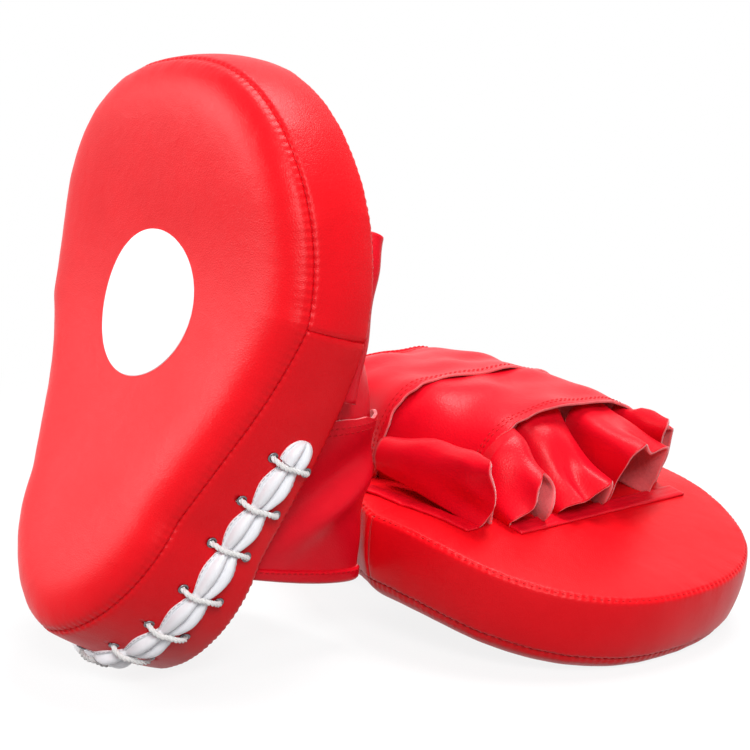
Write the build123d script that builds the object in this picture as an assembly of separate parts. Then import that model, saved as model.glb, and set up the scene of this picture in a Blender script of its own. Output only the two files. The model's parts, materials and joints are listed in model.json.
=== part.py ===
from build123d import *
import math
import os

# A left and a right curved focus mitt, as a pair: one stands on its wrist end, leaning its glove
# towards the other, which lies face down. Lengths are in millimetres and angles in degrees.
#
# Each mitt is modelled in its own frame first: X runs across it, Y runs from the striking face to
# the glove, and Z runs from the wrist to the fingertips. The front seam of the finger part lies in
# the plane Y = 0, and Z there is the distance from the wrist end, measured along the seam.

# The pad's outline, laid flat
PAD_LENGTH = 250.0
WIDEST_AT = 143.0        # distance from the wrist end
HALF_WIDTH = 93.5
FINGER_ROUNDNESS = 2.36  # exponent of the finger end's superellipse
WRIST_HALF_WIDTH = 56.0
WRIST_ROUND_LENGTH = 58.0
WRIST_ROUNDNESS = 1.71

# The pad's side view
BEND_ANGLE = 28.5
BEND_START = 99.0
BEND_END = 187.0
FINGER_THICKNESS = 29.0
WAIST_THICKNESS = 31.0   # at the widest place
WRIST_THICKNESS = 59.0
FACE_CROWN = 12.0        # how far the middle of the face stands out of the seam's plane
CROWN_ROUNDNESS = 9.0    # the higher, the flatter the middle and the tighter the round edge
CROWN_KNOTS = 1.0, 0.95, 0.86, 0.68, 0.0  # shares of the half width where the round edge is faceted

# Layers
LEATHER = 1.6
STRIKE_FOAM = 10.0
BOARD = 3.0
SPOT_CENTRE = 144.5
SPOT_RADIUS = 34.0
SPOT_THICKNESS = 0.6

# The laced slit in the side band
SLIT_TOP = 106.0         # distance from the wrist end at which the slit begins
SLIT_DEPTH_TOP = 26.2    # from the front seam
SLIT_DEPTH_END = 28.7
SLIT_WIDTH = 0.8
LIP_WIDTH = 7.5
LIP_PROUD = 3.0
LACE_DIAMETER = 2.4
LACE_CROSSINGS = 13
LACE_FIRST = 10.0        # first crossing, from the top of the slit
LACE_BEND = 1.5
LACE_CLEAR = 0.3         # between the lace's turns and the lips or the eyelets
EYELET_ROWS = 19.4       # between the front row and the back row
EYELET_BORE = 1.5
EYELET_BARREL = 1.9
EYELET_FLANGE = 2.3
EYELET_PLATE = 0.5
LACE_ROOM = 6.0          # between the band and the foam behind the slit

# The glove: where its seams lie along Z, and how high it stands above the pad's back
GLOVE_LEATHER = 1.5
HEM_AT = 22.0
CUFF_SEAM_AT = 92.0
KNUCKLE_SEAM_AT = 147.0
STALLS_END = 176.0
THUMB_START = 110.0
THUMB_END = 171.0
HEM_HEIGHT = 32.0
CUFF_HEIGHT = 36.0
KNUCKLE_HEIGHT = 40.5
STALL_HEIGHT = 30.0
THUMB_START_HEIGHT = 20.0
THUMB_END_HEIGHT = 28.0
HEM_HALF_WIDTH = 45.0
CUFF_HALF_WIDTH = 60.0
KNUCKLE_THUMB_SIDE = 47.0
THUMB_FLANGE_START = 72.0  # from the pad's middle line
THUMB_FLANGE_END = 64.0
FINGER_WIDTHS = {"index": 25.0, "middle": 34.0, "ring": 33.0, "little": 20.0}
STALL_GAP = 1.0
HEM_DEPTH = 7.0
HEM_THICKNESS = 1.2
FLANGE_WIDTH = 7.0
FLANGE_THICKNESS = 1.2
LEG_DEPTH = 14.0         # by which the legs of a hoop reach into the pad before it trims them

# How the pair is set out
PAIR_GAP = 3.0           # from the standing mitt's glove to the lying mitt's edge
PAIR_OFFSET = 95.5       # of the standing mitt's middle, along the lying mitt

MARGIN = 6.0             # by which cutting shapes reach past what they cut
TIP_HALF_WIDTH = 12.0    # a cutting layer's least half width, at the pad's two tips

os.makedirs("parts", exist_ok=True)


def between(x, x0, x1, y0, y1):
    """Straight line through (x0, y0) and (x1, y1)."""
    return y0 + (y1 - y0) * (x - x0) / (x1 - x0)


def end_share(s):
    """How far s lies into the round of its end, from 0 at its root to 1 at its tip, and its exponent."""
    if s >= WIDEST_AT:
        return min((s - WIDEST_AT) / (PAD_LENGTH - WIDEST_AT), 1.0), FINGER_ROUNDNESS
    return min(max(1 - s / WRIST_ROUND_LENGTH, 0.0), 1.0), WRIST_ROUNDNESS


def half_width(s):
    """Half width of the outline at the distance s from the wrist end."""
    x, n = end_share(s)
    if WRIST_ROUND_LENGTH <= s <= WIDEST_AT:
        return between(s, WRIST_ROUND_LENGTH, WIDEST_AT, WRIST_HALF_WIDTH, HALF_WIDTH)
    widest = HALF_WIDTH if s > WIDEST_AT else WRIST_HALF_WIDTH
    return max(widest * (1 - x**n) ** (1 / n), TIP_HALF_WIDTH)


def crown(share, s):
    """How far the face stands out at s, at this share of the half width: a flat middle, a round edge."""
    x, n = end_share(s)
    return FACE_CROWN * (1 - (share**n * (1 - x**n) + x**n) ** (CROWN_ROUNDNESS / n))


def thickness(s):
    if s >= WIDEST_AT:
        return between(s, WIDEST_AT, PAD_LENGTH, WAIST_THICKNESS, FINGER_THICKNESS)
    return between(s, 0, WIDEST_AT, WRIST_THICKNESS, WAIST_THICKNESS)


def slit_depth(s):
    return between(s, 0, SLIT_TOP, SLIT_DEPTH_END, SLIT_DEPTH_TOP)


def turn(s):
    """How far the pad has turned towards its face at s, in radians: a round bend between straights."""
    share = (BEND_END - s) / (BEND_END - BEND_START)
    return math.radians(BEND_ANGLE) * min(max(share, 0.0), 1.0)


def point(u, s, depth):
    """Place in the mitt's frame: u across, s along the front seam, depth from it towards the back."""
    radius = (BEND_END - BEND_START) / math.radians(BEND_ANGLE)
    a = turn(s)
    along_finger = max(s - BEND_END, 0.0)
    along_wrist = max(BEND_START - s, 0.0)
    y = -radius * (1 - math.cos(a)) - along_wrist * math.sin(a) + depth * math.cos(a)
    z = BEND_END - radius * math.sin(a) + along_finger - along_wrist * math.cos(a) - depth * math.sin(a)
    return Vector(u, y, z)


def cross_plane(s):
    """Plane square to the pad at s, facing the fingertips."""
    a = turn(s)
    return Plane(origin=point(0, s, 0), x_dir=(1, 0, 0), z_dir=(0, math.sin(a), math.cos(a)))


def polygon(points):
    return make_face(Polyline(*points, close=True))


def front(offset=0.0):
    """The crowned face, moved towards the back by offset, as a line of points across the pad at s."""

    def line(s):
        h = half_width(s)
        shape = [(-h - MARGIN, 0), *[(-share * h, crown(share, s)) for share in CROWN_KNOTS]]
        shape += [(-u, rise) for u, rise in reversed(shape[:-1])]
        return [point(u, s, offset - rise) for u, rise in shape]

    return line


def level(depth):
    """A surface that runs straight across the pad, at depth(s) from the front seam."""

    def line(s):
        h = half_width(s) + MARGIN
        return [point(u, s, depth(s)) for u in (-h, h)]

    return line


def back(offset=0.0):
    """The flat back, moved towards the back by offset."""
    return level(lambda s: thickness(s) + offset)


def bend_stations():
    return [between(n, 0, 6, BEND_START, BEND_END) for n in range(7)]


def slab(near, far):
    """Everything between two surfaces that follow the pad, wider and longer than the pad itself."""
    wrist = [-MARGIN, 1, 3, 7, 14, 25, 40, WRIST_ROUND_LENGTH, (WRIST_ROUND_LENGTH + BEND_START) / 2]
    finger = [PAD_LENGTH - x for x in (46, 33, 22, 14, 8, 4, 1, -MARGIN)]
    sections = [polygon(near(s) + far(s)[::-1]) for s in wrist + bend_stations() + finger]
    return loft(sections, ruled=True)


def outline():
    """Stations (s, half width) of the outline, from the wrist end to the finger end."""
    stations = []
    for t in (8, 18, 30, 42, 54, 66, 78, 90):
        a = math.radians(t)
        stations.append(
            (
                WRIST_ROUND_LENGTH * (1 - math.cos(a) ** (2 / WRIST_ROUNDNESS)),
                WRIST_HALF_WIDTH * math.sin(a) ** (2 / WRIST_ROUNDNESS),
            )
        )
    stations += [(s, half_width(s)) for s in (78, *bend_stations()) if s < WIDEST_AT - 5]
    for t in (90, 82, 74, 64, 52, 40, 28, 18, 10, 4):
        a = math.radians(t)
        stations.append(
            (
                WIDEST_AT + (PAD_LENGTH - WIDEST_AT) * math.cos(a) ** (2 / FINGER_ROUNDNESS),
                HALF_WIDTH * math.sin(a) ** (2 / FINGER_ROUNDNESS),
            )
        )
    return stations


def inset_outline(inset):
    """The outline moved inwards by inset, square to itself."""
    stations = outline()
    (s0, h0), (s1, h1) = stations[0], stations[-1]
    ringed = [(s0, -h0), *stations, (s1, -h1)]
    moved = []
    for (sa, ha), (s, h), (sb, hb) in zip(ringed, ringed[1:], ringed[2:]):
        step = math.hypot(sb - sa, hb - ha)
        moved.append((s + inset * (hb - ha) / step, h - inset * (sb - sa) / step))
    return moved


def prism(inset):
    """The outline's solid, inset from the pad's edge, reaching past its face and its back."""
    sections = []
    for s, h in inset_outline(inset):
        low, high = -FACE_CROWN - MARGIN, thickness(s) + MARGIN
        corners = [(-h, low), (h, low), (h, high), (-h, high)]
        sections.append(polygon([point(u, s, depth) for u, depth in corners]))
    return loft(sections, ruled=True)


def rim():
    """Edge line of the pad round the wrist end, from slit top to slit top, laid flat in (u, s)."""
    half = [(h, s) for s, h in outline() if s < SLIT_TOP - 1]
    half.append((half_width(SLIT_TOP), SLIT_TOP))
    return Polyline(*[(u, s) for u, s in reversed(half)], *[(-u, s) for u, s in half])


RIM = rim()


def on_band(distance, across, proud):
    """Place on the side band: distance along the rim, across from the slit's middle, proud of it."""
    at = RIM.position_at(distance / RIM.length)
    along = RIM.tangent_at(distance / RIM.length)
    u = at.X - proud * along.Y
    s = at.Y + proud * along.X
    return point(u, s, slit_depth(at.Y) + across)


def crossings():
    """Distances along the rim of the lace's crossings."""
    last = RIM.length - LACE_FIRST
    return [between(n, 0, LACE_CROSSINGS - 1, LACE_FIRST, last) for n in range(LACE_CROSSINGS)]


def hoop(z, thumb_side, little_side, height, lean, corner, shrink=0.0):
    """Section of a glove tunnel: two leaning legs and a top with round corners."""
    base = thickness(BEND_END)
    low = base - LEG_DEPTH - max(BEND_START - z, 0.0) * math.sin(math.radians(BEND_ANGLE))
    high = base + height - shrink
    right, left = thumb_side - shrink, little_side - shrink
    corners = [(-left, low - shrink), (right, low - shrink), (right - lean, high), (-left + lean, high)]
    face = Plane.XY.offset(z) * polygon([Vector(x, y) for x, y in corners])
    top = face.vertices().filter_by(lambda vertex: vertex.Y > (low + high) / 2)
    return fillet(top, corner - shrink)


def hoops(stations, shrink=0.0):
    """One closed solid through a row of hoops."""
    return loft([hoop(*station, shrink=shrink) for station in stations], ruled=True)


def tunnel(*stations):
    """Leather carried over a row of hoops, hollow and open at both ends."""
    return hoops(stations) - hoops(stations, GLOVE_LEATHER)


# The pad's own pieces
whole = slab(front(), back())
pad = prism(0) & whole
face_layer = slab(front(-MARGIN), front(LEATHER))
back_layer = slab(back(-LEATHER), back(MARGIN))
middle = pad - face_layer - back_layer
hollow = prism(LEATHER)

striking_face = pad & face_layer
back_panel = pad & back_layer
band = middle - hollow
finger_band = split(band, bisect_by=cross_plane(WIDEST_AT), keep=Keep.TOP)
wrist_band = split(band, bisect_by=cross_plane(WIDEST_AT), keep=Keep.BOTTOM)


def slit_strip(low, high):
    """Layer across the slit, from low to high measured from its middle, below the slit's top."""
    layer = slab(level(lambda s: slit_depth(s) + low), level(lambda s: slit_depth(s) + high))
    return split(layer, bisect_by=cross_plane(SLIT_TOP), keep=Keep.BOTTOM)


wrist_band -= slit_strip(-SLIT_WIDTH / 2, SLIT_WIDTH / 2)
lip_ring = prism(-LIP_PROUD) - prism(0)
front_lip = lip_ring & slit_strip(-LIP_WIDTH, -SLIT_WIDTH / 2)
back_lip = lip_ring & slit_strip(SLIT_WIDTH / 2, LIP_WIDTH)

core_space = split(hollow, bisect_by=cross_plane(SLIT_TOP), keep=Keep.TOP)
core_space += split(prism(LEATHER + LACE_ROOM), bisect_by=cross_plane(SLIT_TOP), keep=Keep.BOTTOM)
filling = middle & core_space
strike_foam = filling & slab(front(-MARGIN), front(LEATHER + STRIKE_FOAM))
backing_board = filling & slab(back(-LEATHER - BOARD), back(MARGIN))
core_foam = filling & slab(front(LEATHER + STRIKE_FOAM), back(-LEATHER - BOARD))

spot_plane = cross_plane(SPOT_CENTRE).rotated((90, 0, 0))
spot_post = spot_plane * Cylinder(SPOT_RADIUS, 4 * FACE_CROWN)
target_spot = spot_post & slab(front(-SPOT_THICKNESS), front())


# The lacing
def eyelet_plane(distance, across):
    """Plane on the band at an eyelet, facing outwards."""
    seat = on_band(distance, across, 0)
    return Plane(origin=seat, z_dir=on_band(distance, across, 1) - seat)


eyelets = []
barrel_length = LEATHER + EYELET_PLATE
for distance in crossings():
    for across in (-EYELET_ROWS / 2, EYELET_ROWS / 2):
        seat = eyelet_plane(distance, across)
        sunk = Align.CENTER, Align.CENTER, Align.MAX
        proud = Align.CENTER, Align.CENTER, Align.MIN
        barrel = seat * Cylinder(EYELET_BARREL, barrel_length, align=sunk)
        plate = seat * Cylinder(EYELET_FLANGE, EYELET_PLATE, align=proud)
        bore = seat * Cylinder(EYELET_BORE, 4 * barrel_length)
        eyelets.append(barrel + plate - bore)
        wrist_band -= seat * Cylinder(EYELET_BARREL, 4 * barrel_length)

lace_over = LIP_PROUD + LACE_DIAMETER / 2 + LACE_CLEAR
lace_under = -barrel_length - LACE_BEND - LACE_CLEAR
lace_points = []
for distance in crossings():
    for across in (-EYELET_ROWS / 2, EYELET_ROWS / 2):
        pair = [lace_under, lace_over] if across < 0 else [lace_over, lace_under]
        lace_points += [on_band(distance, across, level) for level in pair]
lace_path = FilletPolyline(*lace_points, radius=LACE_BEND)
lace_start = Plane(origin=lace_path @ 0, z_dir=lace_path % 0)
lace = sweep(lace_start * Circle(LACE_DIAMETER / 2), path=lace_path)
print("lace length", round(lace_path.length, 1), "volume", round(lace.volume, 1),
      "section times length", round(lace_path.length * math.pi * LACE_DIAMETER**2 / 4, 1))

# The glove of a right hand, thumb at +X, sewn on the pad's back
little_side = sum(FINGER_WIDTHS.values()) + STALL_GAP * (len(FINGER_WIDTHS) - 1) - KNUCKLE_THUMB_SIDE
hem_hoop = (HEM_AT, HEM_HALF_WIDTH, HEM_HALF_WIDTH, HEM_HEIGHT, 4.0, 16.0)
cuff_hoop = (CUFF_SEAM_AT, CUFF_HALF_WIDTH, CUFF_HALF_WIDTH, CUFF_HEIGHT, 12.0, 18.0)
knuckle_hoop = (KNUCKLE_SEAM_AT, KNUCKLE_THUMB_SIDE, little_side, KNUCKLE_HEIGHT, 8.0, 16.0)
glove = {
    "wrist_cuff": tunnel(hem_hoop, cuff_hoop),
    "back_of_hand": tunnel(cuff_hoop, knuckle_hoop),
}

# The hem is a strip folded round the cuff's free edge
hem_end = [between(HEM_AT + HEM_DEPTH, HEM_AT, CUFF_SEAM_AT, a, b) for a, b in zip(hem_hoop, cuff_hoop)]
glove["cuff_hem"] = hoops([hem_hoop, hem_end], -HEM_THICKNESS) - hoops([hem_hoop, cuff_hoop])

# Four finger stalls side by side, from the knuckle seam to their open ends
side = KNUCKLE_THUMB_SIDE
for finger, width in FINGER_WIDTHS.items():
    feet = side, width - side
    lean = 2.0
    corner = min(width / 2 - lean - 1.0, 12.0)
    glove[finger + "_stall"] = tunnel(
        (KNUCKLE_SEAM_AT, *feet, KNUCKLE_HEIGHT - 1.0, lean, corner),
        (STALLS_END, *feet, STALL_HEIGHT, lean, corner),
    )
    side -= width + STALL_GAP


def hand_side(z):
    """Where the back of the hand stands on the thumb's side."""
    along = min(z, KNUCKLE_SEAM_AT)
    return between(along, CUFF_SEAM_AT, KNUCKLE_SEAM_AT, CUFF_HALF_WIDTH, KNUCKLE_THUMB_SIDE)


thumb_hoops = []
for z in (THUMB_START, KNUCKLE_SEAM_AT, THUMB_END):
    outer_foot = between(z, THUMB_START, THUMB_END, THUMB_FLANGE_START, THUMB_FLANGE_END)
    inner_foot = hand_side(z) + STALL_GAP
    height = between(z, THUMB_START, THUMB_END, THUMB_START_HEIGHT, THUMB_END_HEIGHT)
    thumb_hoops.append((z, outer_foot, -inner_foot, height, 1.5, 5.0))
glove["thumb_stall"] = tunnel(*thumb_hoops)


def flange(*corners):
    """Flat strip lying on the pad's back, inside the corners (across, along)."""
    post = extrude(polygon([Vector(x, 0, z) for x, z in corners]), 2 * WRIST_THICKNESS, dir=(0, 1, 0))
    return post & slab(back(), back(FLANGE_THICKNESS))


glove["thumb_flange"] = flange(
    (THUMB_FLANGE_START, THUMB_START),
    (THUMB_FLANGE_START + FLANGE_WIDTH, THUMB_START),
    (THUMB_FLANGE_END + FLANGE_WIDTH, THUMB_END),
    (THUMB_FLANGE_END, THUMB_END),
)
glove["finger_flange"] = flange(
    (-little_side, STALLS_END),
    (KNUCKLE_THUMB_SIDE, STALLS_END),
    (KNUCKLE_THUMB_SIDE, STALLS_END + FLANGE_WIDTH),
    (-little_side, STALLS_END + FLANGE_WIDTH),
)
for name in [name for name in glove if not name.endswith("flange")]:
    glove[name] = (glove[name] - pad).solids().sort_by(SortBy.VOLUME)[-1]

padding = {
    "striking_face": striking_face,
    "target_spot": target_spot,
    "finger_band": finger_band,
    "wrist_band": wrist_band,
    "back_panel": back_panel,
    "strike_foam": strike_foam,
    "core_foam": core_foam,
    "backing_board": backing_board,
    "front_lip": front_lip,
    "back_lip": back_lip,
    "eyelets": Compound(children=eyelets),
    "lace": lace,
}


# Setting out the pair
def resting_tilt():
    """Tilt of the lying mitt: its face rests on the chord that lies furthest out across the bend."""
    ridge = [point(0, s, -crown(0, s)) for s in range(1, int(PAD_LENGTH))]
    middle_z = point(0, WIDEST_AT, 0).Z

    def height_at_bend(pair):
        a, b = pair
        return between(middle_z, a.Z, b.Z, a.Y, b.Y)

    chords = [(a, b) for a in ridge for b in ridge if a.Z < middle_z < b.Z]
    a, b = min(chords, key=height_at_bend)
    return math.degrees(math.atan2(b.Y - a.Y, b.Z - a.Z))


crest = thickness(BEND_END) + KNUCKLE_HEIGHT
face_down = Rot(0, resting_tilt(), 0) * Plane(origin=(0, 0, 0), x_dir=(0, 1, 0), z_dir=(1, 0, 0)).location
leaning = Pos(PAIR_OFFSET, -HALF_WIDTH - PAIR_GAP - crest, 0)
left_glove = {name: piece.mirror(Plane.YZ) for name, piece in glove.items()}
mitts = {
    "lying": {name: face_down * piece for name, piece in {**padding, **left_glove}.items()},
    "standing": {name: leaning * piece for name, piece in {**padding, **glove}.items()},
}
pieces = {}
for mitt, own in mitts.items():
    floor = min(piece.bounding_box().min.Z for piece in own.values())
    print(mitt, "mitt raised by", round(-floor, 3))
    for name, piece in own.items():
        pieces[f"{mitt}_{name}"] = Pos(0, 0, -floor) * piece

boxes = [piece.bounding_box() for piece in pieces.values()]
middle_x = (min(box.min.X for box in boxes) + max(box.max.X for box in boxes)) / 2
middle_y = (min(box.min.Y for box in boxes) + max(box.max.Y for box in boxes)) / 2
for name, piece in pieces.items():
    export_step(Pos(-middle_x, -middle_y, 0) * piece, f"parts/{name}.step")

print("lying mitt's tilt", round(resting_tilt(), 3), "pair's middle", round(middle_x, 3), round(middle_y, 3))
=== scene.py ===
"""A pair of curved focus mitts: one stands on its wrist end, the other lies face down beside it."""

import json
import math

import bmesh
import bpy
import numpy as np
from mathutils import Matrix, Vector


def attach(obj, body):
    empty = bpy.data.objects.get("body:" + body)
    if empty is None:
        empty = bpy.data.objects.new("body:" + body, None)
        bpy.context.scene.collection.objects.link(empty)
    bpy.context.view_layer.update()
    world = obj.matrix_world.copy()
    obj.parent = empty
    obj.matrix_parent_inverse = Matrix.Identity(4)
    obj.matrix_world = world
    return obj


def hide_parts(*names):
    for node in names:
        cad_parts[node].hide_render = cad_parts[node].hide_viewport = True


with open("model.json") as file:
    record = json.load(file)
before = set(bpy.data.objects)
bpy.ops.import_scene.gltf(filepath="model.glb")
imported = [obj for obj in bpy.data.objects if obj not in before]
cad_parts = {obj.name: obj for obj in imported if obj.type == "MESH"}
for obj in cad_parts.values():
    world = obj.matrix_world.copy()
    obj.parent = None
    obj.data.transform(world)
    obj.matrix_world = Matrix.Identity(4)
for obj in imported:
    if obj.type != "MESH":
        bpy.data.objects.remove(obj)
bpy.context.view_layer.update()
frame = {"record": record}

# The view: a long lens, a little above the pair, looking past the standing mitt's laced side.
# The floor and the room are plain white, the floor most of all away from the pair, and three soft boxes light them.
CAMERA_PLACE = (0.502, -0.4373, 0.2187)
CAMERA_LOOK = (-0.746, 0.65, -0.146)
CAMERA_LENS = 69.25
ROOM, FLOOR_BELOW = 6.0, 0.0005

camera = bpy.data.objects.new("camera", bpy.data.cameras.new("camera"))
camera.data.lens = CAMERA_LENS
camera.data.clip_start, camera.data.clip_end = 0.02, 50
camera.location = CAMERA_PLACE
camera.rotation_mode = "QUATERNION"
camera.rotation_quaternion = Vector(CAMERA_LOOK).to_track_quat("-Z", "Y")
scene = bpy.context.scene
scene.collection.objects.link(camera)
scene.camera = camera
scene.view_settings.view_transform = "Standard"


def linear(hex_colour):
    """sRGB hex to linear RGBA: a power of 2.4 above a short straight foot."""
    parts = [int(hex_colour[i : i + 2], 16) / 255 for i in (1, 3, 5)]
    return (*[c / 12.92 if c <= 0.04045 else ((c + 0.055) / 1.055) ** 2.4 for c in parts], 1.0)


def add(tree, kind, inputs=None, **settings):
    """Adds one node with its settings; an input is given a value, or another node's output."""
    made = tree.nodes.new(kind)
    for name, value in settings.items():
        setattr(made, name, value)
    for name, value in (inputs or {}).items():
        if isinstance(value, bpy.types.NodeSocket):
            tree.links.new(value, made.inputs[name])
        else:
            made.inputs[name].default_value = value
    return made


def white_seen(tree, lit, white):
    """Output that is the white shader where the camera or a reflection looks, and lit elsewhere."""
    path = add(tree, "ShaderNodeLightPath")
    camera_ray, glossy_ray, glass_ray = (path.outputs[f"Is {kind} Ray"] for kind in ("Camera", "Glossy", "Transmission"))
    seen = add(tree, "ShaderNodeMath", {0: camera_ray, 1: glossy_ray}, operation="MAXIMUM")
    seen = add(tree, "ShaderNodeMath", {0: seen.outputs[0], 1: glass_ray}, operation="MAXIMUM")
    return add(tree, "ShaderNodeMixShader", {0: seen.outputs[0], 1: lit, 2: white}).outputs[0]


world = bpy.data.worlds.new("white_room")
scene.world = world
world.use_nodes = True
tree = world.node_tree
tree.nodes.clear()
lit = add(tree, "ShaderNodeBackground", {"Color": linear("#F4F6FF"), "Strength": 0.18})
white = add(tree, "ShaderNodeBackground", {"Color": (1, 1, 1, 1), "Strength": 1.0})
add(tree, "ShaderNodeOutputWorld", {"Surface": white_seen(tree, lit.outputs[0], white.outputs[0])})

floor_paint = bpy.data.materials.new("matt_white_floor_paint")
floor_paint.use_nodes = True
tree = floor_paint.node_tree
tree.nodes.clear()
lit = add(tree, "ShaderNodeBsdfDiffuse", {"Color": linear("#909090")})
paint = add(tree, "ShaderNodeBsdfDiffuse", {"Color": linear("#F8F8F8")})
glow = add(tree, "ShaderNodeEmission", {"Color": (1, 1, 1, 1), "Strength": 1.0})
away = add(tree, "ShaderNodeVectorMath", {0: add(tree, "ShaderNodeTexCoord").outputs["Object"]}, operation="LENGTH")
share = add(
    tree,
    "ShaderNodeMapRange",
    {"Value": away.outputs["Value"], "From Min": 0.3, "From Max": 0.9, "To Min": 0.86, "To Max": 1.0},
)
half = add(tree, "ShaderNodeMixShader", {0: share.outputs["Result"], 1: paint.outputs[0], 2: glow.outputs[0]})
add(tree, "ShaderNodeOutputMaterial", {"Surface": white_seen(tree, lit.outputs[0], half.outputs[0])})
floor_mesh = bpy.data.meshes.new("floor")
corners = [(x * ROOM, y * ROOM, -FLOOR_BELOW) for x, y in ((-1, -1), (1, -1), (1, 1), (-1, 1))]
floor_mesh.from_pydata(corners, [], [(0, 1, 2, 3)])
floor_mesh.materials.append(floor_paint)
floor = bpy.data.objects.new("floor", floor_mesh)
scene.collection.objects.link(floor)


def soft_box(name, place, aim, size, power):
    """Square area lamp at place, turned to face aim."""
    lamp = bpy.data.objects.new(name, bpy.data.lights.new(name, "AREA"))
    lamp.data.size, lamp.data.energy = size, power
    lamp.location = place
    lamp.rotation_mode = "QUATERNION"
    lamp.rotation_quaternion = (Vector(aim) - Vector(place)).to_track_quat("-Z", "Y")
    scene.collection.objects.link(lamp)


soft_box("front_box", (-0.85, -1.15, 0.75), (0, 0, 0.12), 0.8, 18)
soft_box("top_box", (0.15, 0.25, 1.5), (0, 0, 0.1), 0.7, 22)
soft_box("side_box", (1.15, -0.75, 0.95), (0.05, 0, 0.08), 0.5, 20)

# The pair: each mitt is drawn in millimetres in its own frame, and then set where its hand opening is.
# x runs across it, y from its face to its glove, z from the wrist to the fingertips.
# A left hand's glove is a right hand's, mirrored.
MM = 0.001
MITTS = ("standing", "lying")
HAND_OPENING = np.array([0.0, 28.0, 22.0])
ACROSS = {"standing": (1.0, 0.0, 0.0), "lying": (0.0, 1.0, 0.0)}


def seat(mitt):
    """Origin in millimetres and the rows across, back and along of a mitt, from its hand opening."""
    mount = next(m for m in frame["record"]["mounts"] if m["name"] == mitt + "_hand_opening")
    along = -np.array(mount["axis"], float)
    across = np.array(ACROSS[mitt])
    rows = np.array([across, np.cross(along, across), along])
    return np.array(mount["pos_m"], float) / MM - HAND_OPENING @ rows, rows


SEATS = {mitt: seat(mitt) for mitt in MITTS}


def make(
    mitt, name, points, faces, materials, replaced=(), slot=None, hand=False, merged=False, wall=0.0
):
    """Piece of a mitt from its points in millimetres and its faces, placed in the mesh.

    hand mirrors a glove piece for the left hand, and wall gives a sheet its thickness, inwards.
    """
    origin, rows = SEATS[mitt]
    points = np.array(points, float).reshape(-1, 3)
    faces = [list(face) for face in faces]
    if hand and mitt == "lying":
        points[:, 0] *= -1
        faces = [face[::-1] for face in faces]
    mesh = bpy.data.meshes.new(f"{mitt}_{name}")
    mesh.from_pydata(((origin + points @ rows) * MM).tolist(), [], faces)
    if merged:
        work = bmesh.new()
        work.from_mesh(mesh)
        bmesh.ops.remove_doubles(work, verts=work.verts, dist=2e-6)
        bmesh.ops.dissolve_degenerate(work, edges=work.edges, dist=1e-7)
        work.to_mesh(mesh)
        work.free()
    mesh.shade_smooth()
    for material in materials:
        mesh.materials.append(material)
    piece = bpy.data.objects.new(f"{mitt}_{name}", mesh)
    scene.collection.objects.link(piece)
    if wall:
        solid = piece.modifiers.new("wall", "SOLIDIFY")
        solid.thickness, solid.offset = wall * MM, -1.0
        if len(materials) > 1:
            solid.material_offset = solid.material_offset_rim = 1
    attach(piece, mitt + "_mitt")
    for node in replaced:
        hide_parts(f"{mitt}_{node}")
    return piece


def grid(rows, columns, closed=False):
    """Quads of points laid out row by row; closed joins the last column to the first."""
    i = np.arange(rows - 1)[:, None] * columns
    j = np.arange(columns if closed else columns - 1)[None, :]
    k = (j + 1) % columns
    return np.stack([i + j, i + k, i + columns + k, i + columns + j], -1).reshape(-1, 4)


# The pad's shape: an egg-shaped outline with a narrow wrist end, bent in a round curve towards its face.
# The front seam and the back seam both follow the outline, and the pad is twice as thick at the wrist.
LENGTH, WIDEST_AT, HALF_WIDTH, FINGER_ROUND = 250.0, 143.0, 94.7, 2.36
WRIST_HALF, WRIST_LENGTH, WRIST_ROUND = 56.0, 58.0, 1.71
BEND, BEND_START, BEND_END = math.radians(28.5), 99.0, 187.0
BEND_RADIUS = (BEND_END - BEND_START) / BEND
CORNER_SOFTNESS = 3.2
COLUMNS = 1080
CENTRE = np.array([0.0, 144.5])


def evenly(line, count):
    """A closed line's points, evenly spaced along it."""
    ring = np.vstack([line, line[:1]])
    run = np.concatenate([[0], np.cumsum(np.linalg.norm(np.diff(ring, axis=0), axis=1))])
    at = np.arange(count) * run[-1] / count
    return np.stack([np.interp(at, run, ring[:, k]) for k in (0, 1)], 1), run[-1]


def outline():
    """Edge laid flat, (across, from the wrist end).

    Superellipse ends with straight tapers between, softened by a Gaussian.
    """
    t = np.linspace(0, math.pi / 2, 400)
    wrist_x = WRIST_HALF * np.sin(t) ** (2 / WRIST_ROUND)
    wrist_s = WRIST_LENGTH * (1 - np.cos(t) ** (2 / WRIST_ROUND))
    t = t[::-1]
    finger_x = HALF_WIDTH * np.sin(t) ** (2 / FINGER_ROUND)
    finger_s = WIDEST_AT + (LENGTH - WIDEST_AT) * np.cos(t) ** (2 / FINGER_ROUND)
    right = np.vstack([np.stack([wrist_x, wrist_s], 1), np.stack([finger_x, finger_s], 1)])
    line, length = evenly(np.vstack([right, (right * [-1, 1])[-2:0:-1]]), 4096)
    waves = np.fft.rfft(line, axis=0)
    waves *= np.exp(-((2 * math.pi * np.arange(len(waves)) / length * CORNER_SOFTNESS) ** 2) / 2)[:, None]
    return evenly(np.fft.irfft(waves, 4096, axis=0), COLUMNS)


EDGE, EDGE_LENGTH = outline()
EDGE_RUN = np.arange(COLUMNS) * EDGE_LENGTH / COLUMNS
AHEAD = np.roll(EDGE, -2, 0) - np.roll(EDGE, 2, 0)
OUTWARD = np.stack([AHEAD[:, 1], -AHEAD[:, 0]], 1) / np.linalg.norm(AHEAD, axis=1)[:, None]


def edge_at(run):
    """Edge point and outward direction at a distance along the edge from the wrist end."""
    table = np.hstack([EDGE, OUTWARD])
    found = np.stack([np.interp(run, EDGE_RUN, table[:, k], period=EDGE_LENGTH) for k in range(4)], -1)
    return found[..., :2], found[..., 2:]


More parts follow.
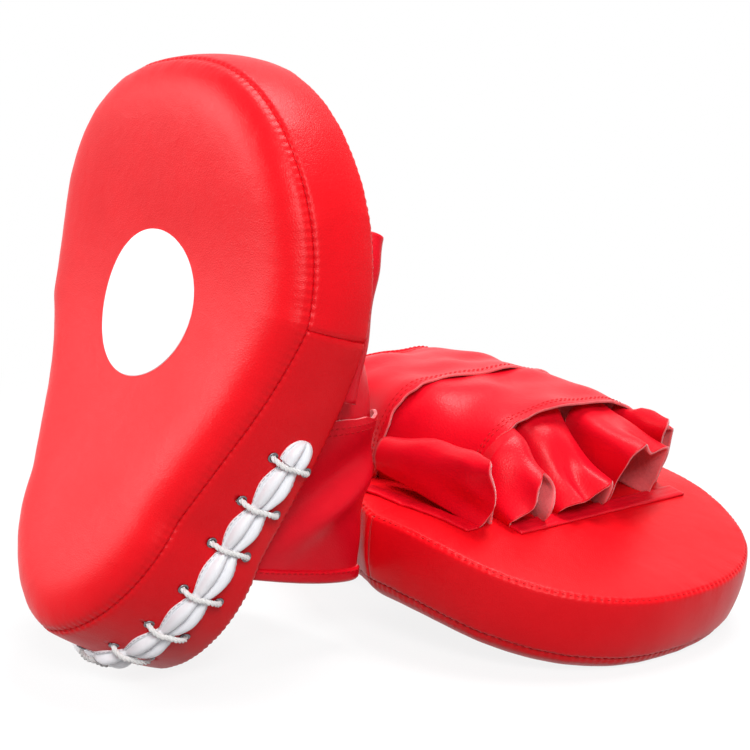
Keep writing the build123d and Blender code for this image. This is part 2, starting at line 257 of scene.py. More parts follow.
def thick(s):
    """Distance from the front seam to the back: 59 mm at the wrist, 32 at the widest place, 31 at the fingertips."""
    return np.interp(s, [0, WIDEST_AT, LENGTH], [59.0, 32.0, 31.0])


def bent(u, s, depth):
    """Place in the mitt's frame of a point u across, s along the seam and depth behind it.

    The pad is straight, then bent in a round curve, then straight again.
    """
    u, s, depth = np.broadcast_arrays(u, s, depth)
    a = BEND * np.clip((BEND_END - s) / (BEND_END - BEND_START), 0, 1)
    wrist, finger = np.maximum(BEND_START - s, 0), np.maximum(s - BEND_END, 0)
    y = -BEND_RADIUS * (1 - np.cos(a)) - wrist * np.sin(a) + depth * np.cos(a)
    z = BEND_END - BEND_RADIUS * np.sin(a) + finger - wrist * np.cos(a) - depth * np.sin(a)
    return np.stack([u, y, z], -1)


# Red leather: split leather with a pressed grain and a clear satin coat, which gives a soft broad shine.
# The grain's cells are about 0.9 mm, drawn a little coarser than real so that they show.
LEATHER = 1.6
GRAIN = 1.0


def leather(name, colour, dark, roughness, grain, depth):
    """Coated leather: pressed cells and pores as bump, and slow cloudiness in the colour and the shine."""
    material = bpy.data.materials.new(name)
    material.use_nodes = True
    tree = material.node_tree
    shader = tree.nodes["Principled BSDF"]
    place = add(tree, "ShaderNodeTexCoord").outputs["Object"]
    cells = add(
        tree,
        "ShaderNodeTexVoronoi",
        {"Vector": place, "Scale": 1000 / grain, "Randomness": 1.0},
        feature="DISTANCE_TO_EDGE",
    )
    pressed = add(tree, "ShaderNodeMapRange", {"Value": cells.outputs["Distance"], "From Min": 0.0, "From Max": 0.35})
    pores = add(tree, "ShaderNodeTexNoise", {"Vector": place, "Scale": 2600.0 / grain, "Detail": 2.0})
    clouds = add(tree, "ShaderNodeTexNoise", {"Vector": place, "Scale": 22.0, "Detail": 4.0, "Roughness": 0.6})
    folds = add(tree, "ShaderNodeTexNoise", {"Vector": place, "Scale": 85.0, "Detail": 3.0, "Distortion": 0.6})
    cloud = {"Value": clouds.outputs["Fac"], "From Min": 0.3, "From Max": 0.7}
    shade = add(tree, "ShaderNodeMapRange", cloud)
    tints = {"Factor": shade.outputs["Result"], 6: linear(colour), 7: linear(dark)}
    colours = add(tree, "ShaderNodeMix", tints, data_type="RGBA")
    shine = add(tree, "ShaderNodeMapRange", {**cloud, "To Min": roughness - 0.03, "To Max": roughness + 0.05})
    first = add(tree, "ShaderNodeBump", {"Height": folds.outputs["Fac"], "Strength": 0.35, "Distance": 0.0007})
    cell_bump = {"Height": pressed.outputs["Result"], "Normal": first.outputs["Normal"]}
    second = add(tree, "ShaderNodeBump", {**cell_bump, "Strength": 0.45, "Distance": depth * MM})
    pore_bump = {"Height": pores.outputs["Fac"], "Normal": second.outputs["Normal"]}
    third = add(tree, "ShaderNodeBump", {**pore_bump, "Strength": 0.25, "Distance": depth * MM * 0.6})
    tree.links.new(colours.outputs[2], shader.inputs["Base Color"])
    tree.links.new(shine.outputs["Result"], shader.inputs["Roughness"])
    tree.links.new(third.outputs["Normal"], shader.inputs["Normal"])
    shader.inputs["IOR"].default_value = 1.42
    shader.inputs["Specular IOR Level"].default_value = 0.22
    return material


pad_leather = leather("red_coated_pad_leather_pressed_grain", "#E00A18", "#D60714", 0.38, GRAIN, 0.10)

# Seams: the leathers are sewn face to face and turned, so they dip into a groove drawn in at each stitch.
# The thread is bonded polyester, a stitch every 3.4 mm, and it puckers the leather on both sides.
PITCH = EDGE_LENGTH / round(EDGE_LENGTH / 3.4)
THREAD = 0.25
SLANT = 0.7


def drawn_in(distance, run):
    """How far leather dips beside a seam: a narrow groove, deeper at each stitch, with puckers that fade over 6 mm."""
    stitch = np.cos(2 * math.pi * run / PITCH)
    groove = (0.8 + 0.14 * stitch) * np.exp(-((distance / 1.0) ** 2))
    ripple = 0.07 * stitch * np.exp(-distance / 2.2)
    slow = np.sin(run / 2.1) + np.sin(run / 3.3 + 1.7) + np.sin(run / 5.6 + 0.4)
    return groove + ripple + 0.09 * slow * np.exp(-distance / 5.0) * (1 - np.exp(-distance / 0.8))


def thread(name, dark, light):
    """Twisted polyester thread: its plies show as slanting bands of painted shade and painted highlight, and it is a
    little dull.
    """
    material = bpy.data.materials.new(name)
    material.use_nodes = True
    tree = material.node_tree
    shader = tree.nodes["Principled BSDF"]
    place = add(tree, "ShaderNodeTexCoord").outputs["Object"]
    twist = {"Vector": place, "Scale": 900.0, "Distortion": 1.5}
    # Painted shade and painted highlight: the dark bands stand for the shade in the grooves between the plies, the
    # light ones for the highlight on their crowns.
    ply_shade_and_highlight = add(tree, "ShaderNodeTexWave", twist, bands_direction="DIAGONAL")
    tints = {"Factor": ply_shade_and_highlight.outputs["Fac"], 6: linear(dark), 7: linear(light)}
    tint = add(tree, "ShaderNodeMix", tints, data_type="RGBA")
    tree.links.new(tint.outputs[2], shader.inputs["Base Color"])
    shader.inputs["Roughness"].default_value = 0.6
    return material


# The thread's dark and light colours are the painted shade and the painted highlight of its plies.
thread_red = thread("red_bonded_polyester_thread_twisted", "#A80812", "#D01420")
thread_red.node_tree.nodes["Principled BSDF"].inputs["Specular IOR Level"].default_value = 0.15


def stitches(line, up, pitch, length, radius, sunk=0.1):
    """Capsules in a row along a line, one every pitch.

    Each is rings of six points whose radius rises and falls along the stitch.
    """
    run = np.concatenate([[0], np.cumsum(np.linalg.norm(np.diff(line, axis=0), axis=1))])
    centre = (np.arange(int(run[-1] / pitch)) + 0.5) * pitch
    at = [np.clip(centre + step, 0, run[-1]) for step in (-length / 2, length / 2)]
    ends = [np.stack([np.interp(place, run, line[:, k]) for k in range(3)], 1) for place in at]
    lift = np.stack([np.interp(centre, run, up[:, k]) for k in range(3)], 1)
    middle, along = (ends[0] + ends[1]) / 2, ends[1] - ends[0]
    along /= np.linalg.norm(along, axis=1)[:, None] + 1e-9
    lift -= (lift * along).sum(1)[:, None] * along
    lift /= np.linalg.norm(lift, axis=1)[:, None] + 1e-9
    side = np.cross(along, lift)
    x = np.array([-0.5, -0.44, -0.25, 0.25, 0.44, 0.5]) * length
    ring = np.array([0.0, 0.65, 1.0, 1.0, 0.65, 0.0]) * radius
    sag = np.array([-0.8, -0.35, 0, 0, -0.35, -0.8]) * radius
    turn = np.arange(6) * math.pi / 3
    rise = ring[:, None] * np.cos(turn) + sag[:, None] - sunk
    out = ring[:, None] * np.sin(turn)
    points = middle[:, None, None] + x[:, None, None] * along[:, None, None]
    points = points + rise[..., None] * lift[:, None, None] + out[..., None] * side[:, None, None]
    faces = grid(6, 6, closed=True)
    return points.reshape(-1, 3), (np.arange(len(centre))[:, None, None] * 36 + faces).reshape(-1, 4)


# The striking face: one piece of leather over the foam, nearly flat in its middle, with a tight round edge.
# The back panel is a flat piece of the same leather, and both are sewn to the side band all round.
CROWN = 12.0
ROUND_WIDTH, ROUND_POWER, ROUND_ROOT = 42.0, 5.0, 0.8
BACK_DROP, BACK_ROUND = 1.0, 20.0
LEATHER_CLEAR = 0.1
INSETS = np.array([0, 0.35, 0.75, 1.2, 1.7, 2.3, 3.0, 3.9, 5.0, 6.3, 7.8, 9.6, 11.8, 14.5, 18.0])
INWARD = np.linspace(1, 0.04, 12)[1:]


def rings(insets=INSETS, step=1, outset=0.0):
    """Rings from the edge to the middle: parallel to the edge first, then shrinking.

    Gives across, along, distance from the edge, run along the edge, and the edge's outward direction.
    """
    edge, out = EDGE[::step] + outset * OUTWARD[::step], OUTWARD[::step]
    inner = edge - insets[-1] * out
    ray = inner - CENTRE
    square = (ray * out).sum(1) / np.linalg.norm(ray, axis=1)
    places = np.concatenate([edge - insets[:, None, None] * out, CENTRE + INWARD[:, None, None] * ray])
    outer = np.repeat(insets[:, None], len(edge), 1)
    inside = insets[-1] + (1 - INWARD[:, None]) * np.linalg.norm(ray, axis=1) * square
    distance = np.concatenate([outer, inside])
    run = np.broadcast_to(EDGE_RUN[::step], distance.shape)
    return places[..., 0], places[..., 1], distance, run, np.broadcast_to(out, (*distance.shape, 2))


def crowned(distance):
    """How far the face stands out: the crown, less a fifth power of the distance short of 42 mm from the edge."""
    return CROWN * np.clip(1 - (1 - np.clip(distance / ROUND_WIDTH, 0, 1)) ** ROUND_POWER, 0, 1) ** ROUND_ROOT


def back_drop(distance):
    """How far the back panel falls towards its seam: 1 mm at the edge, none from 20 mm in."""
    return BACK_DROP * (1 - np.minimum(distance / BACK_ROUND, 1)) ** 2.2


def capped(points, flip):
    """Points and faces of rings with a fan in the middle; flip turns the faces over."""
    count, columns = points.shape[:2]
    faces = grid(count, columns, closed=True).tolist()
    last = (count - 1) * columns
    faces += [[last + j, last + (j + 1) % columns, count * columns] for j in range(columns)]
    faces = [face[::-1] for face in faces] if flip else faces
    return np.vstack([points.reshape(-1, 3), points[-1].mean(0)[None]]), faces


def pulled(u, s, depth, out, pull, towards):
    """Places with the seam's pull taken off, slantwise: inwards from the edge and towards the pad's middle."""
    return bent(u - SLANT * pull * out[..., 0], s - SLANT * pull * out[..., 1], depth + SLANT * pull * towards)


def rested(mitt, points, clear):
    """The lying mitt's padding flattens where it rests: no point comes nearer to the floor than clear."""
    origin, rows = SEATS[mitt]
    height = origin[2] + points @ rows[:, 2]
    return points + np.maximum(clear - height, 0)[..., None] * rows[:, 2]


u, s, distance, run, out = rings()
face_points, face_faces = capped(pulled(u, s, -crowned(distance), out, drawn_in(distance, run), 1), flip=False)
back_points, back_faces = capped(pulled(u, s, thick(s) - back_drop(distance), out, drawn_in(distance, run), -1), flip=True)
for mitt in MITTS:
    laid = rested(mitt, face_points, LEATHER_CLEAR)
    face = make(mitt, "face_leather", laid, face_faces, [pad_leather], ["striking_face"], "red_leather", wall=LEATHER)
    panel = make(
        mitt, "back_leather", back_points, back_faces, [pad_leather], ["back_panel"], "red_leather", wall=LEATHER
    )

# The side band: a strip of the same leather round the pad, in two lengths joined at its widest place.
# It bulges a little between its two seams, and is punched with two rows of holes round the wrist.
BULGE = 2.2
SLIT_TOP = 106.0
HOLE_ROWS, HOLE = 19.4, 1.6
CROSSINGS, FIRST_CROSSING = 13, 10.0
side_run = EDGE_RUN[: COLUMNS // 2]
SEAM_RUN = float(np.interp(WIDEST_AT, EDGE[: COLUMNS // 2, 1], side_run))
SLIT_RUN = float(np.interp(SLIT_TOP, EDGE[: COLUMNS // 2, 1], side_run))


def slit_depth(s):
    """Depth of the laced slit's middle behind the front seam: 28.7 mm at the wrist end, 26.2 at its top."""
    return np.interp(s, [0, SLIT_TOP], [28.7, 26.2])


def on_band(run, share=None, depth=None, proud=0.0):
    """Place on the band, by its share of the way from the front seam to the back one, or by depth.

    It bulges between the seams as a power of a sine.
    """
    place, out = edge_at(run)
    across = thick(place[..., 1]) - back_drop(0.0)
    depth = share * across if depth is None else depth
    swell = BULGE * np.sin(np.clip(depth / across, 0, 1) * math.pi) ** 0.7 + proud
    return bent(place[..., 0] + swell * out[..., 0], place[..., 1] + swell * out[..., 1], depth)


def holes():
    """Run along the edge of every crossing of the lace, and the slit's depth there."""
    crossing = np.linspace(SLIT_RUN - FIRST_CROSSING, FIRST_CROSSING - SLIT_RUN, CROSSINGS)
    middle = slit_depth(edge_at(crossing)[0][:, 1])
    return crossing, middle


def band(start, stop, rows=26):
    """Strip of the band between two cross seams: rows close together at both long seams, drawn in at all four edges."""
    columns = int(abs(stop - start) / 0.7)
    run = np.linspace(start, stop, columns)[None, :]
    share = 0.5 - 0.5 * np.cos(np.linspace(0, math.pi, rows))[:, None]
    place, out = edge_at(run)
    across = thick(place[..., 1]) - back_drop(0.0)
    depth = share * across
    front, behind = drawn_in(depth, run % EDGE_LENGTH), drawn_in(across - depth, run % EDGE_LENGTH)
    ends = np.minimum(run - start, stop - run)
    cross = drawn_in(ends, depth) * 0.8
    swell = BULGE * np.sin(share * math.pi) ** 0.7
    inwards = SLANT * (front + behind) + cross - swell
    x, s = place[..., 0] - inwards * out[..., 0], place[..., 1] - inwards * out[..., 1]
    points = bent(x, s, depth + SLANT * front - SLANT * behind)
    faces = grid(rows, columns)[:, ::-1]
    crossing, middle = holes()
    centres = np.vstack([on_band(crossing, depth=middle + side * HOLE_ROWS / 2) for side in (-1, 1)])
    centre = points.reshape(-1, 3)[faces].mean(1)
    clear = np.linalg.norm(centre[:, None] - centres[None], axis=2).min(1) > HOLE
    return points, faces[clear]


for mitt in MITTS:
    for name, start, stop in (("finger_band", SEAM_RUN, EDGE_LENGTH - SEAM_RUN), ("wrist_band", -SEAM_RUN, SEAM_RUN)):
        strip = make(mitt, name + "_leather", *band(start, stop), [pad_leather], [name], "red_leather", wall=LEATHER)

closed_run = np.append(EDGE_RUN, EDGE_LENGTH)
seam_place, seam_out = edge_at(closed_run)
seam_lines = []
for depth, towards in ((0.0 * closed_run, 1), (thick(seam_place[:, 1]) - back_drop(0.0), -1)):
    lifted = []
    for rise in (-0.35, 0.65):
        shifted = seam_place + rise * seam_out
        lifted.append(bent(shifted[:, 0], shifted[:, 1], depth - towards * rise))
    seam_lines.append((lifted[0], lifted[1] - lifted[0]))
for mitt in MITTS:
    (front, front_quads), (back, back_quads) = (
        stitches(line, up, PITCH, 2.2, THREAD, sunk) for (line, up), sunk in zip(seam_lines, (0.12, 0.4))
    )
    points, faces = np.vstack([front, back]), np.vstack([front_quads, back_quads + len(front)])
    make(mitt, "edge_seam_thread", points, faces, [thread_red], slot="red_leather", merged=True)

# The padding: a dense foam behind the face, a thick soft one, and a stiff board that the glove is sewn through.
# All three are cut to the outline and wrapped by the leather, so only an edge shows at the lace holes.
STRIKE_FOAM, BOARD, SNUG = 10.0, 3.0, 2.4
LACE_ROOM = 8.0
FOAM_CLEAR = LEATHER + 0.4


def foam_sheet(colour, dark, name, cell):
    """Foam or felt: small round cells as bump, with painted shade darkening the cell mouths."""
    material = bpy.data.materials.new(name)
    material.use_nodes = True
    tree = material.node_tree
    shader = tree.nodes["Principled BSDF"]
    place = add(tree, "ShaderNodeTexCoord").outputs["Object"]
    cells = add(tree, "ShaderNodeTexVoronoi", {"Vector": place, "Scale": 1000 / cell})
    # Painted shade: the colour darkens towards the middle of each cell, where its mouth is, to stand for the shade
    # inside it.
    tint = add(tree, "ShaderNodeMix", {"Factor": cells.outputs["Distance"], 6: linear(dark), 7: linear(colour)}, data_type="RGBA")
    bump = add(tree, "ShaderNodeBump", {"Height": cells.outputs["Distance"], "Strength": 0.6, "Distance": 0.0003})
    tree.links.new(tint.outputs[2], shader.inputs["Base Color"])
    tree.links.new(bump.outputs["Normal"], shader.inputs["Normal"])
    shader.inputs["Roughness"].default_value = 0.92
    return material


def cut_slab(near, far, step=6, recess=SNUG):
    """Closed slab of the outline between two depths: rings over its near side, and rings back over its far side."""
    u, s, distance, _, _ = rings(np.array([0, 1.0, 3.0, 6.0, 10.0, 16.0]), step, -recess)
    top, bottom = bent(u, s, near(distance + recess, s)), bent(u, s, far(distance + recess, s))
    count, columns = top.shape[:2]
    points = np.concatenate([top[::-1], bottom]).reshape(-1, 3)
    faces = grid(2 * count, columns, closed=True)[:, ::-1].tolist()
    first, last = len(points), (2 * count - 1) * columns
    faces += [[j, (j + 1) % columns, first] for j in range(columns)]
    faces += [[last + (j + 1) % columns, last + j, first + 1] for j in range(columns)]
    return np.vstack([points, top[-1].mean(0), bottom[-1].mean(0)]), faces


def face_inside(distance, s):
    return LEATHER + 0.3 - crowned(distance)


def foams_meet(distance, s):
    return LEATHER + STRIKE_FOAM - crowned(distance)


def board_front(distance, s):
    return thick(s) - LEATHER - BOARD - 0.3


def board_back(distance, s):
    return thick(s) - LEATHER - 0.3 - back_drop(distance)


# The second colour of each is the painted shade in the cell mouths.
dense = foam_sheet("#26262A", "#131316", "black_cross_linked_foam_skived", 0.7)
soft = foam_sheet("#D9D3B4", "#A79F7C", "cream_open_cell_foam_cut", 1.1)
fibre_board = foam_sheet("#4A4A4C", "#303032", "grey_fibre_board_pressed", 0.5)
padding = (
    ("strike_foam", face_inside, foams_meet, "dense_foam", dense, SNUG),
    ("core_foam", foams_meet, board_front, "soft_foam", soft, LACE_ROOM),
    ("backing_board", board_front, board_back, "backing_board", fibre_board, LACE_ROOM),
)
for mitt in MITTS:
    for node, near, far, slot_name, material, recess in padding:
        points, faces = cut_slab(near, far, recess=recess)
        layer = make(mitt, node + "_layer", rested(mitt, points, FOAM_CLEAR), faces, [material], [node], slot_name)

# The target spot: a disc of thin white vinyl welded to the middle of the face.
# It is smooth, a little glossier than the leather, and its cut edge stands 0.6 mm proud.
SPOT_RADIUS, SPOT_PROUD = 34.0, 0.6


def vinyl(name, colour, roughness):
    """White coated vinyl: smooth, with faint cloudiness and a very fine grain."""
    material = bpy.data.materials.new(name)
    material.use_nodes = True
    tree = material.node_tree
    shader = tree.nodes["Principled BSDF"]
    place = add(tree, "ShaderNodeTexCoord").outputs["Object"]
    clouds = add(tree, "ShaderNodeTexNoise", {"Vector": place, "Scale": 60.0, "Detail": 3.0})
    tints = {"Factor": clouds.outputs["Fac"], 6: linear(colour), 7: linear("#E9EAEE")}
    tint = add(tree, "ShaderNodeMix", tints, data_type="RGBA")
    fine = add(tree, "ShaderNodeTexNoise", {"Vector": place, "Scale": 1400.0, "Detail": 2.0})
    bump = add(tree, "ShaderNodeBump", {"Height": fine.outputs["Fac"], "Strength": 0.2, "Distance": 0.0001})
    tree.links.new(tint.outputs[2], shader.inputs["Base Color"])
    tree.links.new(bump.outputs["Normal"], shader.inputs["Normal"])
    shader.inputs["Roughness"].default_value = roughness
    return material


spot_vinyl = vinyl("white_spot_vinyl_welded", "#FCFCFD", 0.42)
spot_share = np.array([1.0, 0.998, 0.99, 0.97, 0.9, 0.75, 0.5, 0.25, 0.08])[:, None]
angle = np.linspace(0, 2 * math.pi, 144, endpoint=False)[None, :]
spot_rise = SPOT_PROUD * np.minimum((1 - spot_share) / 0.012, 1) ** 0.5 + 0.02
spot = bent(SPOT_RADIUS * spot_share * np.cos(angle), CENTRE[1] + SPOT_RADIUS * spot_share * np.sin(angle), -CROWN - spot_rise)
for mitt in MITTS:
    make(mitt, "spot_vinyl", *capped(spot, flip=False), [spot_vinyl], ["target_spot"], "white_vinyl", wall=0.3)

# The slit's lips: two rolls of white vinyl, one sewn along each edge of the slit in the wrist band.
# The lace pinches them at each crossing, they swell between, and they end in a round nose at both tops.
LIP_WIDE, LIP_PINCHED = 7.6, 5.0
LIP_HIGH, LIP_LOW = 4.6, 2.6
LIP_END = 7.0
lip_vinyl = vinyl("white_piping_vinyl_rolled", "#F7F7FA", 0.36)
LACE_PITCH = 2 * (SLIT_RUN - FIRST_CROSSING) / (CROSSINGS - 1)


def lip(side, rows=900):
    """One lip: a round roll with a low hem outside it.

    Both are scaled by a cosine between crossings, and by a narrow pinch at each.
    """
    run = np.linspace(SLIT_RUN + 1.0, -SLIT_RUN - 1.0, rows)
    from_end = np.minimum(SLIT_RUN + 1.0 - run, run + SLIT_RUN + 1.0)
    offset = (SLIT_RUN - FIRST_CROSSING - run + LACE_PITCH / 2) % LACE_PITCH - LACE_PITCH / 2
    slack = np.where(from_end < FIRST_CROSSING, 0.75, 0.5 - 0.5 * np.cos(2 * math.pi * offset / LACE_PITCH))
    tight = np.exp(-((offset / 1.7) ** 2))
    nose = np.sqrt(np.clip(1 - (1 - np.minimum(from_end / LIP_END, 1)) ** 2, 0.0004, 1))
    width = (LIP_PINCHED + (LIP_WIDE - LIP_PINCHED) * slack**0.8 - 0.5 * tight) * nose
    height = (LIP_LOW + (LIP_HIGH - LIP_LOW) * slack**0.7 - 0.5 * tight) * nose
    crease = 0.12 * np.sin(run * 1.9 + side) * tight + 0.1 * np.sin(run / 2.7 + 2 * side)
    roll = np.linspace(0, math.pi, 15)
    x = np.concatenate([0.40 - 0.39 * np.cos(roll), [0.82, 0.9, 0.98, 1.0, 0.9, 0.5, 0.05]])
    y = np.concatenate([np.sin(roll) ** 0.85, [0.21, 0.23, 0.19, -0.05, -0.25, -0.3, -0.25]])
    y[13:15] = [0.30, 0.17]
    place, out = edge_at(run)
    across = side * (0.15 + width[:, None] * x)
    proud = height[:, None] * y + crease[:, None] * np.clip(y, 0, 1)
    depth = slit_depth(place[:, 1])[:, None] + across
    thickness = thick(place[:, 1])[:, None] - back_drop(0.0)
    swell = BULGE * np.sin(depth / thickness * math.pi) ** 0.7 + proud
    points = bent(place[:, :1] + swell * out[:, :1], place[:, 1:] + swell * out[:, 1:], depth)
    faces = grid(rows, len(x), closed=True)
    faces = faces if side < 0 else faces[:, ::-1]
    ends = [list(range(len(x))), list(range((rows - 1) * len(x), rows * len(x)))]
    ends = [ends[0][::-1], ends[1]] if side < 0 else [ends[0], ends[1][::-1]]
    hem = points[20:-20, 17]
    return points, faces.tolist() + ends, hem, hem - points[20:-20, 19]


# Its two colours are the painted shade and the painted highlight of the plies, as for the red thread.
thread_white = thread("grey_white_polyester_thread_twisted", "#A9ABB4", "#D9DAE0")
for mitt in MITTS:
    for node, side in (("front_lip", -1), ("back_lip", 1)):
        points, faces, hem, up = lip(side)
        make(mitt, node + "_roll", points, faces, [lip_vinyl], [node], "white_vinyl")
        make(mitt, node + "_thread", *stitches(hem, up, 2.6, 1.9, 0.2, 0.02), [thread_white], slot="white_vinyl", merged=True)

# Eyelets: small rolled rings of nickel-plated brass, clenched in the lace holes.
# They are dull, with a round flange outside and a short barrel through the leather.
EYELET_BORE, EYELET_FLANGE = 1.3, 2.3
nickel = bpy.data.materials.new("nickel_plated_brass_stamped_dull")
nickel.use_nodes = True
tree = nickel.node_tree
place = add(tree, "ShaderNodeTexCoord").outputs["Object"]
scratch = add(tree, "ShaderNodeTexNoise", {"Vector": place, "Scale": 900.0, "Detail": 3.0})
worn = add(tree, "ShaderNodeMapRange", {"Value": scratch.outputs["Fac"], "To Min": 0.28, "To Max": 0.5})
tree.links.new(worn.outputs["Result"], tree.nodes["Principled BSDF"].inputs["Roughness"])
tree.nodes["Principled BSDF"].inputs["Base Color"].default_value = linear("#77767A")
tree.nodes["Principled BSDF"].inputs["Metallic"].default_value = 1.0


def eyelet_rings():
    """Every eyelet: a closed round profile, flange and barrel, turned about the hole's own axis."""
    barrel = [(1.6, -1.9), (1.3, -1.9), (EYELET_BORE, 0.1)]
    flange = [(1.4, 0.4), (1.75, 0.55), (2.1, 0.42), (EYELET_FLANGE, 0.1), (2.1, -0.05), (1.6, -0.2)]
    profile = np.array(barrel + flange)
    turn = np.linspace(0, 2 * math.pi, 20, endpoint=False)
    crossing, middle = holes()
    points, faces = [], []
    for side in (-1, 1):
        seat_at = on_band(crossing, depth=middle + side * HOLE_ROWS / 2)
        axis = on_band(crossing, depth=middle + side * HOLE_ROWS / 2, proud=1.0) - seat_at
        ahead = on_band(crossing - 0.5, depth=middle + side * HOLE_ROWS / 2) - seat_at
        ahead -= (ahead * axis).sum(1)[:, None] * axis
        ahead /= np.linalg.norm(ahead, axis=1)[:, None]
        other = np.cross(axis, ahead)
        round_ = np.cos(turn)[:, None] * ahead[:, None] + np.sin(turn)[:, None] * other[:, None]
        ring = seat_at[:, None, None] + profile[:, None, :1] * round_[:, None] + profile[:, None, 1:] * axis[:, None, None]
        quads = grid(len(profile) + 1, len(turn), closed=True) % (len(profile) * len(turn))
        base = len(np.concatenate(points)) if points else 0
        points.append(ring.reshape(-1, 3))
        faces.append((base + np.arange(CROSSINGS)[:, None, None] * len(profile) * len(turn) + quads).reshape(-1, 4))
    return np.concatenate(points), np.concatenate(faces)[:, ::-1]


for mitt in MITTS:
    make(mitt, "eyelet_rings", *eyelet_rings(), [nickel], ["eyelets"], "eyelet_metal")

# The lace: one length of three-strand white cotton cord, about 780 mm, threaded in a zigzag round the wrist.
# It goes over both lips at each crossing and runs on behind the leather to the next hole.
STRAND, STRAND_OUT, TWIST = 0.66, 0.6, 6.5
UP_TO_MIDDLE = ((-9.7, -3.6), (-9.7, 0.3), (-9, 1.8), (-6.8, 2.9), (-3.6, 3.7))
OVER_LIPS = (*UP_TO_MIDDLE, (0, 3.5), *((-across, height) for across, height in UP_TO_MIDDLE[::-1]))


def through(knots, share):
    """Catmull-Rom curve through the knots, at shares from 0 to 1 of the way along them."""
    knots = np.asarray(knots, float)
    held = np.concatenate([2 * knots[:1] - knots[1:2], knots, 2 * knots[-1:] - knots[-2:-1]])
    at = np.clip(share, 0, 1) * (len(knots) - 1)
    i = np.minimum(at.astype(int), len(knots) - 2)
    f = (at - i).reshape((-1,) + (1,) * (knots.ndim - 1))
    a, b, c, d = (held[i + k] for k in range(4))
    return 0.5 * (2 * b + (c - a) * f + (2 * a - 5 * b + 4 * c - d) * f**2 + (3 * b - a - 3 * c + d) * f**3)


def lace():
    """Three helices round the lace's line, each a tube of seven sides with pinched ends."""
    crossing, middle = holes()
    over = np.array(OVER_LIPS, float)
    run = np.repeat(crossing, len(over)) + np.tile(0.5 * np.sin(over[:, 0] / 10 * math.pi), CROSSINGS)
    depth = np.repeat(middle, len(over)) + np.tile(over[:, 0], CROSSINGS)
    knots = on_band(run, depth=depth, proud=np.tile(over[:, 1], CROSSINGS))
    fine = np.linspace(0, 1, 6000)
    line, beside = through(knots, fine), through(run, fine)
    along_rim = on_band(beside + 1.0, depth=slit_depth(0)) - on_band(beside, depth=slit_depth(0))
    length = np.concatenate([[0], np.cumsum(np.linalg.norm(np.diff(line, axis=0), axis=1))])
    at = np.linspace(0, length[-1], 1150)
    line, rim = (np.stack([np.interp(at, length, v[:, k]) for k in range(3)], 1) for v in (line, along_rim))
    ahead = np.gradient(line, axis=0)
    ahead /= np.linalg.norm(ahead, axis=1)[:, None]
    first = rim - (rim * ahead).sum(1)[:, None] * ahead
    first /= np.linalg.norm(first, axis=1)[:, None]
    second = np.cross(ahead, first)
    points, faces = [], []
    turn = np.linspace(0, 2 * math.pi, 7, endpoint=False)
    size = STRAND * np.minimum(1, np.minimum(np.arange(len(at)), np.arange(len(at))[::-1]) / 1.5)[:, None, None]
    for strand in range(3):
        phase = (2 * math.pi * (at / TWIST + strand / 3))[:, None]
        core = line + STRAND_OUT * (np.cos(phase) * first + np.sin(phase) * second)
        round_ = np.cos(turn)[:, None] * first[:, None] + np.sin(turn)[:, None] * second[:, None]
        tube = core[:, None] + size * round_
        faces.append(grid(len(at), 7, closed=True) + strand * len(at) * 7)
        points.append(tube.reshape(-1, 3))
    return np.concatenate(points), np.concatenate(faces)


cotton = bpy.data.materials.new("white_cotton_cord_twisted")
cotton.use_nodes = True
tree = cotton.node_tree
place = add(tree, "ShaderNodeTexCoord").outputs["Object"]
fibre = add(tree, "ShaderNodeTexNoise", {"Vector": place, "Scale": 1800.0, "Detail": 4.0, "Roughness": 0.7})
tint = add(tree, "ShaderNodeMix", {"Factor": fibre.outputs["Fac"], 6: linear("#DCDBDA"), 7: linear("#FBFAF8")}, data_type="RGBA")
fuzz = add(tree, "ShaderNodeBump", {"Height": fibre.outputs["Fac"], "Strength": 0.7, "Distance": 0.0002})
tree.links.new(tint.outputs[2], tree.nodes["Principled BSDF"].inputs["Base Color"])
tree.links.new(fuzz.outputs["Normal"], tree.nodes["Principled BSDF"].inputs["Normal"])
tree.nodes["Principled BSDF"].inputs["Roughness"].default_value = 0.85
tree.nodes["Principled BSDF"].inputs["Sheen Weight"].default_value = 0.25
for mitt in MITTS:
    make(mitt, "lace_cord", *lace(), [cotton], ["lace"], "white_cord", merged=True)

# The glove: thin soft leather sewn to the back in panels, shiny outside and pink suede inside.
# The cuff and the back of the hand are two arches, and the cuff's raw edge overlaps the other.
GLOVE_LEATHER = 1.4
glove_leather = leather("red_coated_glove_leather_soft", "#DE0C22", "#CE081D", 0.36, 1.3, 0.09)
suede = bpy.data.materials.new("pink_suede_flesh_side")
suede.use_nodes = True
tree = suede.node_tree
place = add(tree, "ShaderNodeTexCoord").outputs["Object"]
nap = add(tree, "ShaderNodeTexNoise", {"Vector": place, "Scale": 700.0, "Detail": 5.0, "Roughness": 0.75})
tint = add(tree, "ShaderNodeMix", {"Factor": nap.outputs["Fac"], 6: linear("#D2363E"), 7: linear("#F27578")}, data_type="RGBA")
rough = add(tree, "ShaderNodeBump", {"Height": nap.outputs["Fac"], "Strength": 0.8, "Distance": 0.0004})
tree.links.new(tint.outputs[2], tree.nodes["Principled BSDF"].inputs["Base Color"])
tree.links.new(rough.outputs["Normal"], tree.nodes["Principled BSDF"].inputs["Normal"])
tree.nodes["Principled BSDF"].inputs["Roughness"].default_value = 0.95
tree.nodes["Principled BSDF"].inputs["Sheen Weight"].default_value = 0.4

back_line = bent(0.0, np.linspace(0, LENGTH, 400), thick(np.linspace(0, LENGTH, 400)))
BACK_PLANE = 31.5


def back_at(z):
    """How far back the pad's back lies at a height z of the mitt."""
    return np.interp(z, back_line[:, 2], back_line[:, 1])


